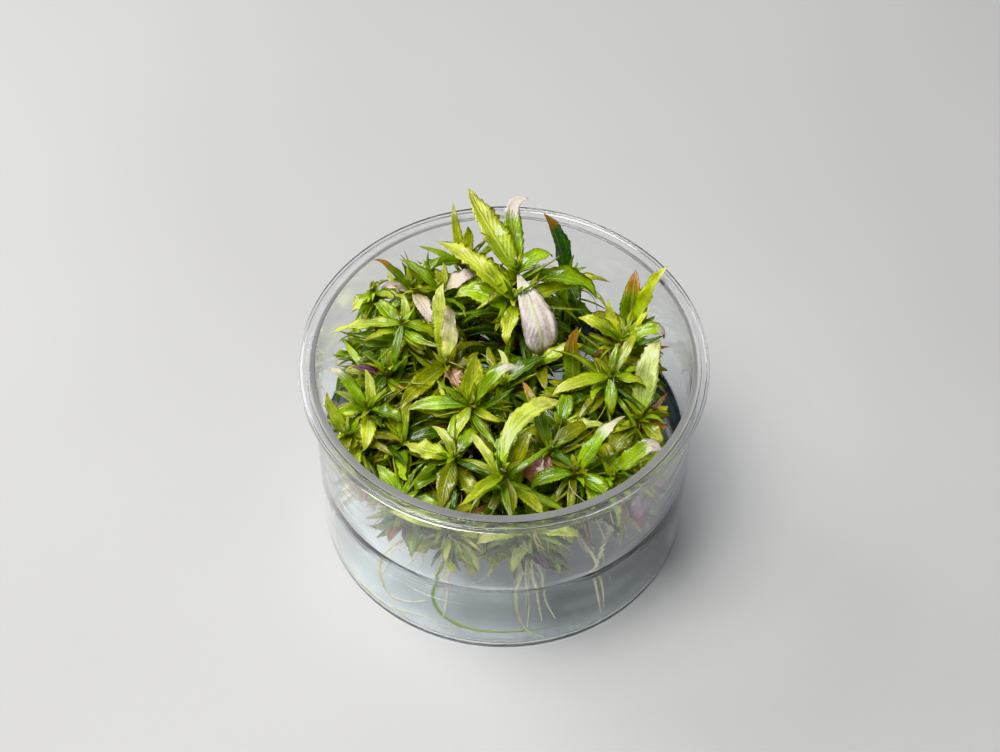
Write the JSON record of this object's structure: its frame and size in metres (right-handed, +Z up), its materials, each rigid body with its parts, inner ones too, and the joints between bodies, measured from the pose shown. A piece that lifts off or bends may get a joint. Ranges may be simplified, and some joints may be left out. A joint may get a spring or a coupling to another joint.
{
  "type": "pogostemon stellatus in jar",
  "caption": "Star-leaved aquarium stem plants, tissue cultured, rooted in clear nutrient gel in a low round clear cup with a flanged open mouth.",
  "frame": {"origin": "centre of the cup's flat underside", "axes": "+Z up through the cup's mouth, -Y towards the side the picture shows, +X to its right"},
  "size_m": [0.1, 0.1, 0.0714],
  "materials": {
    "clear_plastic": "clear, smooth and glossy",
    "nutrient_gel": "clear, faintly milky wet gel",
    "foliage": "soft waxy leaf, damp, yellow-green to dark green with pink and brown leaves"
  },
  "bodies": {
    "root": {"cup": "clear_plastic", "gel": "nutrient_gel", "shoot_back_tall": "foliage", "shoot_back_mid": "foliage", "shoot_back_edge_left": "foliage", "shoot_back_edge_right": "foliage", "shoot_far_left": "foliage", "shoot_left_mid": "foliage", "shoot_left_low": "foliage", "shoot_middle_left": "foliage", "shoot_upper_left": "foliage", "shoot_pink_flag": "foliage", "shoot_middle": "foliage", "shoot_front": "foliage", "shoot_red_kite": "foliage", "shoot_front_right": "foliage", "shoot_front_right_rim": "foliage", "shoot_right_star": "foliage", "shoot_right_mid": "foliage", "shoot_right_back": "foliage", "shoot_far_right": "foliage", "shoot_left_front": "foliage", "shoot_left_wall": "foliage", "shoot_front_left_wet": "foliage", "shoot_front_left_dark": "foliage", "shoot_right_dark": "foliage", "shoot_front_left_rim": "foliage", "shoot_front_low": "foliage", "shoot_front_wall": "foliage", "shoot_front_wall_left": "foliage", "shoot_right_wall": "foliage", "shoot_middle_back": "foliage", "shoot_centre": "foliage", "shoot_centre_right": "foliage", "shoot_left_hollow": "foliage"}
  },
  "joints": []
}
